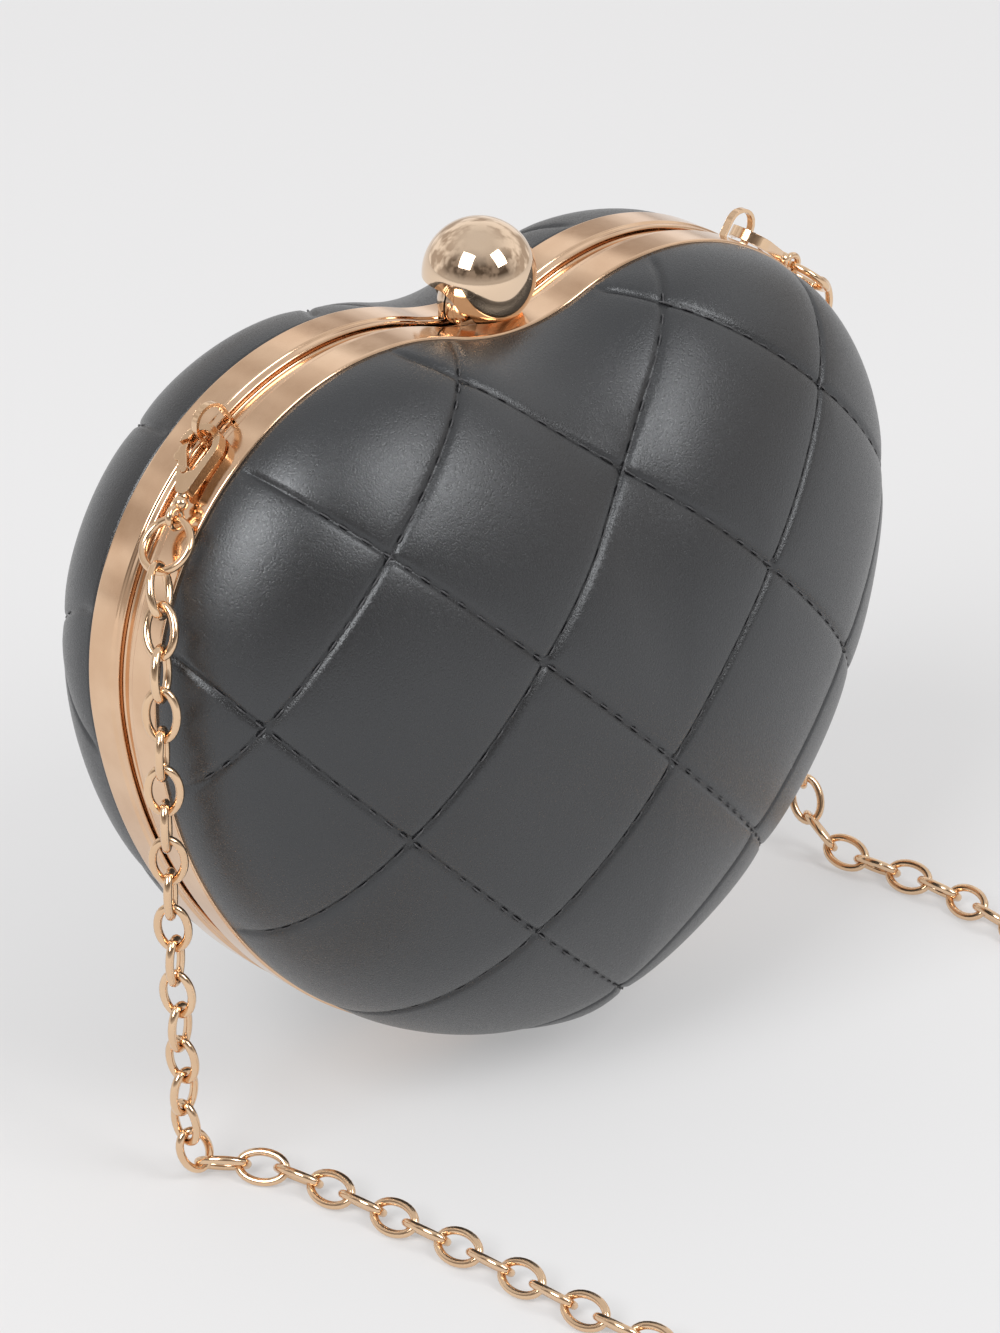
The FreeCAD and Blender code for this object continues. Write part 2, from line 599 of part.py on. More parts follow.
right_hang = [V(74.6, -2.5, 5.0), V(77.2, 2.2, 16.0), V(78.6, 3.0, 30.0), V(79.2, 2.8, 46.0), V(79.4, 2.4, 62.0),
              V(79.4, 1.8, 76.0), V(79.2, 1.0, 88.0), V(77.6, 0.4, 98.5)]
left_start, left_across = strap_end["left"]
right_start, right_across = strap_end["right"]
stations = [left_start] + left_hang
stations += [V(x, y, floor_rise) for x, y in left_floor + loop + right_floor]
stations += right_hang + [right_start]
route = rounded_route(stations)
route_length = sum(length for kind, data, length in route)
end_gap = size("link_length") / 2 - size("link_wire") - size("ring_wire") - size("link_slack") / 2
LOOP_LEAD = 8.0
taut_pitch = size("link_length") - 2 * size("link_wire") - size("link_slack")
links = int(math.ceil((route_length - 2 * end_gap) / taut_pitch))
links += links % 2
pitch = (route_length - 2 * end_gap) / links
print("strap ends", left_start, right_start)
print("chain route", round(route_length, 1), "links", links + 1, "pitch", round(pitch, 3),
      "least bend", round(min(data[3] for kind, data, length in route if kind == "bend"), 1))

link = link_solid()
spans = []
for i in range(links + 1):
    near, heading = route_point(route, end_gap + (i - 0.5) * pitch)
    far, heading = route_point(route, end_gap + (i + 0.5) * pitch)
    spans.append(((near + far) * 0.5, (far - near).normalize()))

# links lie rolled to 45 degrees on the floor and turn square to the rings at both ends
STEEP = 0.7
EASE = 5
TWIST = 45.0
lying = [i for i, (place, direction) in enumerate(spans)
         if abs(direction.z) < STEEP and place.z < 2 * size("link_length")]
first_down = lying[0]
last_down = lying[-1]


def level_at(i):
    """Direction square to a link that turns steadily along the route."""
    direction = spans[i][1]
    if i < first_down:
        flat = V(spans[first_down][1].x, spans[first_down][1].y, 0)
    elif i > last_down:
        flat = V(-spans[last_down][1].x, -spans[last_down][1].y, 0)
    else:
        flat = V(0, 0, 1)
    return (flat - direction * flat.dot(direction)).normalize()


def turn_to(i, wanted, near_angle):
    """Twist that brings a link's level onto a wanted direction, by the shorter way from an angle."""
    level = level_at(i)
    angle = math.degrees(math.atan2(spans[i][1].dot(level.cross(wanted)), level.dot(wanted)))
    return near_angle + (angle - near_angle + 90.0) % 180.0 - 90.0


twist_keys = [
    (0, turn_to(0, left_across, 0.0)), (EASE, 0.0), (first_down - 2 * EASE, 0.0), (first_down - 1, TWIST),
    (last_down + 1, TWIST), (links, turn_to(links, right_across, TWIST)),
]


def twist_at(i):
    for (low, before), (high, after) in zip(twist_keys, twist_keys[1:]):
        if i <= high:
            return before + (after - before) * (i - low) / (high - low)


stretches = {"left_hanging_chain": [], "left_floor_chain": [], "loop_chain": [], "right_floor_chain": [],
             "right_hanging_chain": []}
for i, (place, direction) in enumerate(spans):
    twist = twist_at(i) + 90.0 * (i % 2)
    sideways = FreeCAD.Rotation(direction, twist).multVec(level_at(i))
    piece = link.copy()
    piece.Placement = seat(place, direction, direction.cross(sideways).normalize())
    on_floor = place.z < floor_rise + size("link_wire")
    if place.x < 0 and not on_floor:
        stretch = "left_hanging_chain"
    elif not on_floor:
        stretch = "right_hanging_chain"
    elif place.y < loop[0][1] + LOOP_LEAD and place.x < 0 or place.y < loop[-1][1] + LOOP_LEAD:
        stretch = "loop_chain"
    elif place.x < 0:
        stretch = "left_floor_chain"
    else:
        stretch = "right_floor_chain"
    stretches[stretch].append(piece)
for label, pieces in stretches.items():
    feature(label, Part.makeCompound(pieces))

# checks and files
doc.recompute()
NODES = [
    "back_frame", "back_shell", "back_cover", "back_lining", "front_frame", "front_shell", "front_cover",
    "front_lining", "back_hinge_leaf", "front_hinge_leaf", "hinge_pin", "clasp_front_lug", "clasp_back_lug",
    "clasp_ball", "clasp_pin",
]
for side in ("left", "right"):
    for name in ("eyelet", "claw_body", "claw_lever", "claw_rivet", "swivel", "ring"):
        NODES.append("%s_%s" % (side, name))
NODES += list(stretches)
failed = [o.Name for o in doc.Objects if "Invalid" in o.State or "Error" in o.State]
if failed:
    raise RuntimeError("failed objects: %s" % failed)
by_label = {o.Label: o for o in doc.Objects}
for label in NODES:
    shape = by_label[label].Shape
    if shape.isNull() or not shape.isValid() or not shape.Solids:
        raise RuntimeError("bad shape: " + label)
os.makedirs("parts", exist_ok=True)
for label in NODES:
    by_label[label].Shape.exportStep("parts/%s.step" % label)
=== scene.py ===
import bmesh
import bpy
import json
import math
import numpy as np
import random
from mathutils import Matrix, Vector

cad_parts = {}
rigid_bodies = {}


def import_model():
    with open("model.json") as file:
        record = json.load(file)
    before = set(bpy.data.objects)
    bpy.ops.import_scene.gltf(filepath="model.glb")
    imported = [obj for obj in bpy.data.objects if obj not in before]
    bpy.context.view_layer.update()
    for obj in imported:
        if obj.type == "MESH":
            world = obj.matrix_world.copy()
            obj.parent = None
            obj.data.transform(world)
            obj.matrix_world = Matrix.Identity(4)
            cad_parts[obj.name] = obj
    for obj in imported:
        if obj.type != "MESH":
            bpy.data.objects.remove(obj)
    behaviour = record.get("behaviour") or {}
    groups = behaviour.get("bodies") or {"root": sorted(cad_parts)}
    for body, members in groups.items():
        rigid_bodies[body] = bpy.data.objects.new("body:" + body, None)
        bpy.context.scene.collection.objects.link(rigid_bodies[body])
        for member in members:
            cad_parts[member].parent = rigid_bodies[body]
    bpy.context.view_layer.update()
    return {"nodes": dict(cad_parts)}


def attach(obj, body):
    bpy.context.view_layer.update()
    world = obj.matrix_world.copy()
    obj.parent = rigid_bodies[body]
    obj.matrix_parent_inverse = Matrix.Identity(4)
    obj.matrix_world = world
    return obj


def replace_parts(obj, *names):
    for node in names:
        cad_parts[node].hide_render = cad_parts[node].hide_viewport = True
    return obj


for thing in list(bpy.data.objects):
    bpy.data.objects.remove(thing)
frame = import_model()
nodes = frame["nodes"]
scene = bpy.context.scene
scene.view_settings.view_transform = "Standard"
MM = 0.001

# sizes of the part, in mm
# heart outline: centre x, centre z and radius of the tangent arcs of the right half
CLEFT = (0.0, 162.949, 38.0)
LOBE = (28.5, 83.4, 46.5)
SIDE = (-12.717, 88.235, 88.0)
TIP = (0.0, 19.4, 18.0)
# domed halves: height of their middle, y of their mouth, curve of the profile, and the layers
MIDDLE = 58.4
MOUTH = 8.0
FULLNESS = 2.1
COVER_INSET = 0.4
COVER_DEPTH = 36.0
COVER_THICKNESS = 2.6
LINING_INSET = 5.3
LINING_DEPTH = 31.1
LINING_THICKNESS = 0.8
# hinge: height of its axis, half its length and radius of the room round its knuckles
HINGE_AXIS = 1.4
HINGE_HALF = 8.1
HINGE_ROOM = 1.55

# the photograph's camera: focal length and frame height in pixels
FOCAL_LENGTH = 5000.0
FRAME_HEIGHT = 1333.0


# camera
def look(azimuth, elevation, distance, target):
    """Camera that looks at a target from a direction, azimuth 0 being the front."""
    a = math.radians(azimuth)
    e = math.radians(elevation)
    away = Vector((math.sin(a) * math.cos(e), -math.cos(a) * math.cos(e), math.sin(e)))
    data = bpy.data.cameras.new("camera")
    data.sensor_fit = "VERTICAL"
    data.sensor_height = 24.0
    data.lens = FOCAL_LENGTH * data.sensor_height / FRAME_HEIGHT
    data.clip_end = 20.0
    camera = bpy.data.objects.new("camera", data)
    camera.location = Vector(target) + away * distance
    camera.rotation_euler = away.to_track_quat("Z", "Y").to_euler()
    scene.collection.objects.link(camera)
    scene.camera = camera


look(-42.74, 27.46, 0.81321, (0.00301, 0.0, 0.06147))


# materials
def new_material(name):
    material = bpy.data.materials.new(name)
    material.use_nodes = True
    tree = material.node_tree
    shader = next(n for n in tree.nodes if n.type == "BSDF_PRINCIPLED")
    return material, tree, shader


def add(tree, kind, **values):
    node = tree.nodes.new(kind)
    for key, value in values.items():
        if key in node.inputs:
            node.inputs[key].default_value = value
        else:
            setattr(node, key, value)
    return node


def ramp(tree, source, low, high, out_low, out_high):
    """Value stretched from one range to another, and held within it."""
    node = add(tree, "ShaderNodeMapRange", clamp=True)
    sockets = ("From Min", "From Max", "To Min", "To Max")
    for socket, value in zip(sockets, (low, high, out_low, out_high)):
        node.inputs[socket].default_value = value
    tree.links.new(source, node.inputs["Value"])
    return node.outputs["Result"]


def blend_colour(tree, factor, first, second):
    """Mix of two colours, each a plain colour or an output."""
    node = add(tree, "ShaderNodeMix", data_type="RGBA")
    tree.links.new(factor, node.inputs["Factor"])
    for socket, value in (("A", first), ("B", second)):
        target = next(s for s in node.inputs if s.name == socket and s.type == "RGBA")
        if isinstance(value, tuple):
            target.default_value = value + (1.0,)
        else:
            tree.links.new(value, target)
    return next(s for s in node.outputs if s.type == "RGBA")


def object_place(tree):
    return add(tree, "ShaderNodeTexCoord").outputs["Object"]


def noise(tree, place, scale, detail=2.0, roughness=0.5):
    node = add(tree, "ShaderNodeTexNoise", Scale=scale, Detail=detail, Roughness=roughness)
    tree.links.new(place, node.inputs["Vector"])
    return node.outputs["Fac"]


def bump(tree, height, distance, strength, before=None):
    node = add(tree, "ShaderNodeBump", Strength=strength, Distance=distance)
    tree.links.new(height, node.inputs["Height"])
    if before is not None:
        tree.links.new(before, node.inputs["Normal"])
    return node.outputs["Normal"]


def leather_material():
    material, tree, shader = new_material("leather")
    place = object_place(tree)
    cells = add(tree, "ShaderNodeTexVoronoi", feature="DISTANCE_TO_EDGE", Scale=2300.0)
    tree.links.new(place, cells.inputs["Vector"])
    fine = noise(tree, place, 2800.0, 3.0, 0.65)
    broad = noise(tree, place, 42.0, 4.0, 0.55)
    # painted shade: the seam layer marks the creases, where the leather colour is darkened
    seam = add(tree, "ShaderNodeAttribute", attribute_name="seam").outputs["Fac"]
    shade = ramp(tree, broad, 0.3, 0.7, 0.0, 1.0)
    colour = blend_colour(tree, shade, (0.0138, 0.0142, 0.0155), (0.019, 0.0194, 0.021))
    grain = ramp(tree, cells.outputs["Distance"], 0.0, 0.16, 0.5, 0.0)
    colour = blend_colour(tree, grain, colour, (0.0115, 0.012, 0.0132))
    # painted shade in the creases: leather darkened to near black along each seam
    colour = blend_colour(tree, seam, colour, (0.005, 0.005, 0.006))
    tree.links.new(colour, shader.inputs["Base Color"])
    tree.links.new(ramp(tree, fine, 0.25, 0.75, 0.24, 0.34), shader.inputs["Roughness"])
    normal = bump(tree, cells.outputs["Distance"], 0.00004, 0.5)
    normal = bump(tree, fine, 0.00009, 0.85, normal)
    tree.links.new(normal, shader.inputs["Normal"])
    shader.inputs["Specular IOR Level"].default_value = 0.85
    shader.inputs["Specular Tint"].default_value = (0.94, 0.97, 1.0, 1.0)
    return material


def thread_material():
    material, tree, shader = new_material("thread")
    place = object_place(tree)
    ply = noise(tree, place, 2600.0, 2.0)
    shade = ramp(tree, ply, 0.3, 0.7, 0.0, 1.0)
    colour = blend_colour(tree, shade, (0.03, 0.03, 0.033), (0.075, 0.075, 0.08))
    tree.links.new(colour, shader.inputs["Base Color"])
    tree.links.new(bump(tree, ply, 0.00005, 0.6), shader.inputs["Normal"])
    shader.inputs["Roughness"].default_value = 0.4
    return material


def metal_material(name, colour, deep, low, high, scratch):
    """Plated metal that clouds from a deep colour, with a range of roughness and fine scratches."""
    material, tree, shader = new_material(name)
    place = object_place(tree)
    cloud = noise(tree, place, 95.0, 3.0, 0.55)
    wear = noise(tree, place, 900.0, 4.0, 0.65)
    shade = ramp(tree, cloud, 0.3, 0.72, 0.0, 1.0)
    tree.links.new(blend_colour(tree, shade, deep, colour), shader.inputs["Base Color"])
    tree.links.new(ramp(tree, wear, 0.3, 0.75, low, high), shader.inputs["Roughness"])
    tree.links.new(bump(tree, wear, 0.00002, scratch), shader.inputs["Normal"])
    shader.inputs["Metallic"].default_value = 1.0
    return material


def lining_material():
    material, tree, shader = new_material("lining")
    place = object_place(tree)
    turned = add(tree, "ShaderNodeMapping", Rotation=(0.0, math.radians(45.0), 0.0))
    tree.links.new(place, turned.inputs["Vector"])
    waves = []
    for direction in ("X", "Z"):
        wave = add(tree, "ShaderNodeTexWave", wave_type="BANDS", bands_direction=direction,
                   Scale=260.0, Distortion=1.2)
        tree.links.new(turned.outputs["Vector"], wave.inputs["Vector"])
        waves.append(wave.outputs["Fac"])
    weave = add(tree, "ShaderNodeMath", operation="MULTIPLY")
    tree.links.new(waves[0], weave.inputs[0])
    tree.links.new(waves[1], weave.inputs[1])
    colour = blend_colour(tree, weave.outputs["Value"], (0.062, 0.058, 0.058), (0.092, 0.087, 0.086))
    tree.links.new(colour, shader.inputs["Base Color"])
    tree.links.new(bump(tree, weave.outputs["Value"], 0.0001, 0.5), shader.inputs["Normal"])
    shader.inputs["Roughness"].default_value = 0.72
    shader.inputs["Sheen Weight"].default_value = 0.25
    shader.inputs["Sheen Roughness"].default_value = 0.4
    return material


def shell_material():
    material, tree, shader = new_material("shell")
    place = object_place(tree)
    pits = noise(tree, place, 1500.0, 3.0)
    shade = ramp(tree, pits, 0.3, 0.7, 0.0, 1.0)
    colour = blend_colour(tree, shade, (0.1, 0.1, 0.1), (0.14, 0.14, 0.14))
    tree.links.new(colour, shader.inputs["Base Color"])
    tree.links.new(ramp(tree, pits, 0.3, 0.7, 0.5, 0.65), shader.inputs["Roughness"])
    tree.links.new(bump(tree, pits, 0.00005, 0.4), shader.inputs["Normal"])
    return material


leather = leather_material()
thread = thread_material()
rim_metal = metal_material("rim_metal", (0.86, 0.605, 0.41), (0.74, 0.49, 0.315), 0.08, 0.16, 0.05)
ball_metal = metal_material("ball_metal", (0.86, 0.665, 0.49), (0.83, 0.63, 0.455), 0.04, 0.08, 0.01)
clasp_metal = metal_material("clasp_metal", (0.85, 0.66, 0.49), (0.79, 0.6, 0.44), 0.08, 0.18, 0.05)
strap_metal = metal_material("strap_metal", (0.86, 0.62, 0.41), (0.80, 0.55, 0.35), 0.1, 0.2, 0.05)
lining = lining_material()
shell = shell_material()


# mesh helpers
def add_piece(name, mesh, material, body):
    """Smooth object with a material, riding on a body."""
    mesh.polygons.foreach_set("use_smooth", [True] * len(mesh.polygons))
    piece = bpy.data.objects.new(name, mesh)
    scene.collection.objects.link(piece)
    piece.data.materials.append(material)
    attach(piece, body)
    return piece


def mesh_piece(name, verts, faces, material, body):
    """Piece from points in mm, with its faces turned outwards."""
    mesh = bpy.data.meshes.new(name)
    mesh.from_pydata([tuple(c * MM for c in v) for v in verts], [], faces)
    work = bmesh.new()
    work.from_mesh(mesh)
    bmesh.ops.recalc_face_normals(work, faces=work.faces)
    work.to_mesh(mesh)
    work.free()
    return add_piece(name, mesh, material, body)


def outline(count):
    """Points and outward normals of the frame's outline, evenly spaced from the cleft round."""
    lean1 = math.atan2(LOBE[1] - CLEFT[1], LOBE[0] - CLEFT[0])
    lean2 = math.atan2(LOBE[1] - SIDE[1], LOBE[0] - SIDE[0])
    lean3 = math.atan2(TIP[1] - SIDE[1], TIP[0] - SIDE[0])
    arcs = [(CLEFT, -math.pi / 2, lean1, -1), (LOBE, lean1 + math.pi, lean2, 1),
            (SIDE, lean2, lean3, 1), (TIP, lean3, -math.pi / 2, 1)]
    lengths = [abs(end - start) * circle[2] for circle, start, end, sense in arcs]
    half = sum(lengths)
    points = []
    normals = []
    for k in range(count):
        d = 2 * half * k / count
        side = 1 if d <= half else -1
        d = min(d, 2 * half - d)
        i = 0
        while i < 3 and d > lengths[i]:
            d -= lengths[i]
            i += 1
        (x, z, radius), start, end, sense = arcs[i]
        angle = start + (end - start) * d / lengths[i]
        c = math.cos(angle)
        s = math.sin(angle)
        points.append((side * (x + radius * c), z + radius * s))
        normals.append((side * sense * c, sense * s))
    return np.array(points), np.array(normals)


# frames
def soften(profile, radius, steps=4):
    """Closed profile with its corners rounded."""
    out = []
    for i, corner in enumerate(profile):
        corner = np.array(corner)
        before = np.array(profile[i - 1]) - corner
        after = np.array(profile[(i + 1) % len(profile)]) - corner
        reach = min(radius, 0.45 * np.linalg.norm(before), 0.45 * np.linalg.norm(after))
        start = corner + before / np.linalg.norm(before) * reach
        end = corner + after / np.linalg.norm(after) * reach
        for k in range(steps + 1):
            t = k / steps
            out.append((1 - t) ** 2 * start + 2 * t * (1 - t) * corner + t ** 2 * end)
    return out


def clear_hinge(x, y, z):
    """Point moved out of the room cut for the hinge's knuckles."""
    if abs(x) < HINGE_HALF and z < 3 * HINGE_AXIS:
        run = math.hypot(y, z - HINGE_AXIS)
        if run < HINGE_ROOM:
            grow = HINGE_ROOM / max(run, 0.01)
            return (x, y * grow, HINGE_AXIS + (z - HINGE_AXIS) * grow)
    return (x, y, z)


def sweep(name, profile, body, count=720):
    """Band with a profile of (inset, y) points carried round the outline."""
    points, normals = outline(count)
    verts = []
    for inset, y in profile:
        for (px, pz), (nx, nz) in zip(points, normals):
            verts.append(clear_hinge(px - inset * nx, y, pz - inset * nz))
    rows = len(profile)
    faces = []
    for j in range(rows):
        k = (j + 1) % rows
        for i in range(count):
            n = (i + 1) % count
            faces.append((j * count + i, j * count + n, k * count + n, k * count + i))
    piece = mesh_piece(name, verts, faces, rim_metal, body)
    weighted = piece.modifiers.new("flat_faces", "WEIGHTED_NORMAL")
    weighted.keep_sharp = True
    return piece


# profiles of the bands as (inset, y): step beside the groove, face, ledge, wall and, at the back, the lip
BACK_BAND = [
    (0.35, 1.2), (0.35, 2.3), (0, 2.6), (0, 8), (6.3, 8), (6.3, 6.6), (2.8, 6.6), (2.8, -2), (1.6, -2),
    (1.6, 1.2),
]
FRONT_BAND = [
    (0.35, -1.2), (0.35, -2.3), (0, -2.6), (0, -8), (6.3, -8), (6.3, -6.6), (1.3, -6.6), (1.3, -1.2),
]
BAND_CORNER = 0.45
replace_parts(sweep("back_band", soften(BACK_BAND, BAND_CORNER), "back"), "back_frame")
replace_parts(sweep("front_band", soften(FRONT_BAND, BAND_CORNER), "front"), "front_frame")

# quilted halves
# seams of each family at the mouth, how far behind it their planes meet, and edges cut beside each seam
SEAMS = (-26.1, 2.4, 30.9, 59.4)
SEAM_FAN = 150.0
SEAM_CUTS = (0.0, 0.22, -0.22, 0.5, -0.5, 0.9, -0.9, 2.0, -2.0)
ROOT2 = math.sqrt(2.0)
# depth and half width of the crease and of the dip round it, and of the puff between the seams
CREASE = (0.48, 0.6)
DIP = (0.2, 2.6)
PUFF = (0.17, 6.0)
DEEPEST = 0.85
# half width of the painted shade darkening each crease
CREASE_SHADE_HALF = 0.55
FLAT_MOUTH = 3.0


def dome_points(inset, depth, rows, count):
    """Rings of points from the mouth towards the crown, and the crown, bulging to +y."""
    points, normals = outline(count)
    rim = points - inset * normals
    rings = []
    for k in range(rows):
        share = math.cos(math.pi / 2 * k / rows)
        rise = math.sqrt(1 - share ** FULLNESS)
        rings.append([(x * share, MOUTH + depth * rise, MIDDLE + (z - MIDDLE) * share) for x, z in rim])
    return rings, (0.0, MOUTH + depth, MIDDLE)


def dome_faces(start, rows, count, crown):
    faces = []
    for j in range(rows - 1):
        for i in range(count):
            n = (i + 1) % count
            low = start + j * count
            faces.append((low + i, low + n, low + count + n, low + count + i))
    last = start + (rows - 1) * count
    for i in range(count):
        faces.append((last + i, last + (i + 1) % count, crown))
    return faces


def hollow_dome(inset, depth, thickness, outer_rows, inner_rows, count):
    """Closed shell of a dome: points, faces and the number of points on its outer face."""
    outer, outer_crown = dome_points(inset, depth, outer_rows, count)
    inner, inner_crown = dome_points(inset + thickness, depth - thickness, inner_rows, count)
    verts = [p for ring in outer for p in ring] + [outer_crown]
    split = len(verts)
    verts += [p for ring in inner for p in ring] + [inner_crown]
    faces = dome_faces(0, outer_rows, count, split - 1)
    faces += dome_faces(split, inner_rows, count, len(verts) - 1)
    for i in range(count):
        n = (i + 1) % count
        faces.append((i, n, split + n, split + i))
    return verts, faces, split


def seam_gaps(x, y, z):
    """Distances from the nearest seam of each of the two families, which spread towards the crown."""
    spread = 1 + (y - MOUTH) / SEAM_FAN
    gaps = []
    for place in ((x + z - MIDDLE) / ROOT2, (z - MIDDLE - x) / ROOT2):
        gaps.append(min(abs(place - seam * spread) / math.hypot(1.0, seam / SEAM_FAN) for seam in SEAMS))
    return gaps


def dent(gap):
    """Depth of the padding beside one seam: a narrow crease in a broad dip."""
    return CREASE[0] * math.exp(-(gap / CREASE[1]) ** 2) + DIP[0] * math.exp(-(gap / DIP[1]) ** 2)


def cut_seams(work, outside):
    """Edges cut into the outer face along each seam and beside it."""
    for lean in (1.0, -1.0):
        square = Vector((lean, 0.0, 1.0)).normalized()
        for seam in SEAMS:
            normal = (square - Vector((0.0, seam / SEAM_FAN, 0.0))).normalized()
            for cut in SEAM_CUTS:
                skin = [f for f in work.faces if all(v[outside] for v in f.verts)]
                edges = {e for f in skin for e in f.edges}
                points = {v for f in skin for v in f.verts}
                made = bmesh.ops.bisect_plane(
                    work, geom=skin + list(edges) + list(points), dist=0.02,
                    plane_co=Vector((0.0, MOUTH, MIDDLE)) + square * seam + normal * cut, plane_no=normal)
                for part in made["geom_cut"]:
                    if isinstance(part, bmesh.types.BMVert):
                        part[outside] = 1


def press_seams(work, outside):
    """Outer face pressed in along the seams and puffed between them, flat at the mouth, with a seam layer
    that marks the painted shade along each crease.
    """
    # seam layer: mask of the painted shade along the creases
    crease = work.verts.layers.float.new("seam")
    moves = []
    for vert in work.verts:
        if not vert[outside]:
            continue
        one, two = seam_gaps(*vert.co)
        near = min(one, two)
        edge = min(max((vert.co.y - MOUTH) / FLAT_MOUTH, 0.0), 1.0)
        puff = PUFF[0] * (1 - math.exp(-(near / PUFF[1]) ** 2))
        deep = min(dent(one) + dent(two), DEEPEST)
        vert[crease] = math.exp(-(near / CREASE_SHADE_HALF) ** 2) * edge
        moves.append((vert, vert.normal.copy() * ((puff - deep) * edge)))
    for vert, move in moves:
        vert.co += move


def quilted(name, body, sign):
    """Padded cover of one half, bulging to +y or, with a sign of -1, to -y."""
    verts, faces, split = hollow_dome(COVER_INSET, COVER_DEPTH, COVER_THICKNESS, 66, 12, 420)
    mesh = bpy.data.meshes.new(name)
    mesh.from_pydata(verts, [], faces)
    work = bmesh.new()
    work.from_mesh(mesh)
    work.verts.ensure_lookup_table()
    outside = work.verts.layers.int.new("outside")
    for vert in work.verts:
        vert[outside] = 1 if vert.index < split else 0
    cut_seams(work, outside)
    work.normal_update()
    bmesh.ops.recalc_face_normals(work, faces=work.faces)
    work.normal_update()
    press_seams(work, outside)
    for vert in work.verts:
        vert.co = Vector((vert.co.x, sign * vert.co.y, vert.co.z)) * MM
    bmesh.ops.recalc_face_normals(work, faces=work.faces)
    work.to_mesh(mesh)
    work.free()
    piece = add_piece(name, mesh, leather, body)
    return piece


rim_points, rim_normals = outline(720)
rim_points = rim_points - COVER_INSET * rim_normals
rim_angles = np.arctan2(rim_points[:, 0], rim_points[:, 1] - MIDDLE)
rim_order = np.argsort(rim_angles)
rim_reach = np.hypot(rim_points[:, 0], rim_points[:, 1] - MIDDLE)


def share_at(x, z):
    """How far a point of the front view lies from the dome's centre, as a share of the way to the rim."""
    angle = math.atan2(x, z - MIDDLE)
    reach = np.interp(angle, rim_angles[rim_order], rim_reach[rim_order], period=2 * math.pi)
    return math.hypot(x, z - MIDDLE) / reach


def dome_height(x, z):
    """Distance of the cover's outer face from the plane where the halves meet, without its seams."""
    return MOUTH + COVER_DEPTH * math.sqrt(max(1 - share_at(x, z) ** FULLNESS, 0.0))


# stitches: the gap between two, their length and radius, how high they lie, and where they end before the rim
STITCH_GAP = 1.3
STITCH_LENGTH = 2.2
STITCH_RADIUS = 0.17
STITCH_LIFT = -0.52
STITCH_SINK = 0.35
STITCH_END = 0.985
SEAM_REACH = 100.0
SEAM_STEP = 0.3
SEAM_BREAK = 5.0
SLOPE_STEP = 0.2


def stitch_mesh(start, end, up, verts, faces):
    """Rounded bar between two points, sunk at both ends."""
    along = (end - start).normalized()
    across = along.cross(up).normalized()
    base = len(verts)
    stations = (0.0, 0.1, 0.3, 0.5, 0.7, 0.9, 1.0)
    thick = (0.25, 0.7, 0.97, 1.0, 0.97, 0.7, 0.25)
    sides = 8
    for t, grow in zip(stations, thick):
        middle = start.lerp(end, t) - up * (STITCH_SINK * (2 * t - 1) ** 4)
        for k in range(sides):
            a = 2 * math.pi * k / sides
            verts.append(middle + (across * math.cos(a) + up * math.sin(a)) * (STITCH_RADIUS * grow))
    for j in range(len(stations) - 1):
        for k in range(sides):
            n = (k + 1) % sides
            low = base + j * sides
            faces.append((low + k, low + n, low + sides + n, low + sides + k))
    faces.append(tuple(base + k for k in range(sides)))
    last = base + (len(stations) - 1) * sides
    faces.append(tuple(last + k for k in reversed(range(sides))))


def seam_point(seam, step, lean):
    """Point of the dome on a seam, a step along it from its middle."""
    place = seam
    for attempt in range(8):
        x = (place - step) / ROOT2 * lean
        z = MIDDLE + (place + step) / ROOT2
        y = dome_height(x, z)
        place = seam * (1 + (y - MOUTH) / SEAM_FAN)
    return Vector((x, y, z))


def dome_normal(x, z):
    slope_x = (dome_height(x + SLOPE_STEP, z) - dome_height(x - SLOPE_STEP, z)) / (2 * SLOPE_STEP)
    slope_z = (dome_height(x, z + SLOPE_STEP) - dome_height(x, z - SLOPE_STEP)) / (2 * SLOPE_STEP)
    return Vector((-slope_x, 1.0, -slope_z)).normalized()


def stitches(name, body, sign):
    """Thread of one cover: a row of slightly uneven stitches along each seam."""
    verts = []
    faces = []
    hand = random.Random(11)
    for lean in (1, -1):
        for seam in SEAMS:
            row = [seam_point(seam, step, lean) for step in np.arange(-SEAM_REACH, SEAM_REACH, SEAM_STEP)]
            row = [point for point in row if share_at(point.x, point.z) < STITCH_END]
            run = 0.0
            wanted = STITCH_GAP
            begin = None
            for here, there in zip(row, row[1:]):
                if (there - here).length > SEAM_BREAK:
                    begin = None
                    run = 0.0
                    continue
                run += (there - here).length
                if run < wanted:
                    continue
                run = 0.0
                if begin is None:
                    begin = here
                    wanted = STITCH_LENGTH * hand.uniform(0.75, 1.2)
                    continue
                up = dome_normal((begin.x + here.x) / 2, (begin.z + here.z) / 2)
                lift = up * (STITCH_LIFT + hand.uniform(-0.08, 0.08))
                stitch_mesh(begin + lift, here + lift, up, verts, faces)
                begin = None
                wanted = STITCH_GAP * hand.uniform(0.8, 1.4)
    verts = [(v.x, sign * v.y, v.z) for v in verts]
    return mesh_piece(name, verts, faces, thread, body)


RIPPLE = 0.16
RIPPLE_EASE = 6.0


def lined(name, body, sign):
    """Lining of one half, with shallow ripples on its inner face."""
    verts, faces, split = hollow_dome(LINING_INSET, LINING_DEPTH, LINING_THICKNESS, 20, 34, 300)
    points = []
    for i, (x, y, z) in enumerate(verts):
        if i >= split:
            ease = min((y - MOUTH) / RIPPLE_EASE, 1.0)
            fold = math.sin(0.31 * x + 0.6 * math.sin(0.13 * z)) * math.sin(0.17 * z + 0.05 * x)
            y += RIPPLE * ease * fold
        points.append((x, sign * y, z))
    return mesh_piece(name, points, faces, lining, body)


for body, sign in (("back", 1.0), ("front", -1.0)):
    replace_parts(quilted(body + "_quilt", body, sign), body + "_cover")
    stitches(body + "_stitches", body, sign)
    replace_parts(lined(body + "_fabric", body, sign), body + "_lining")

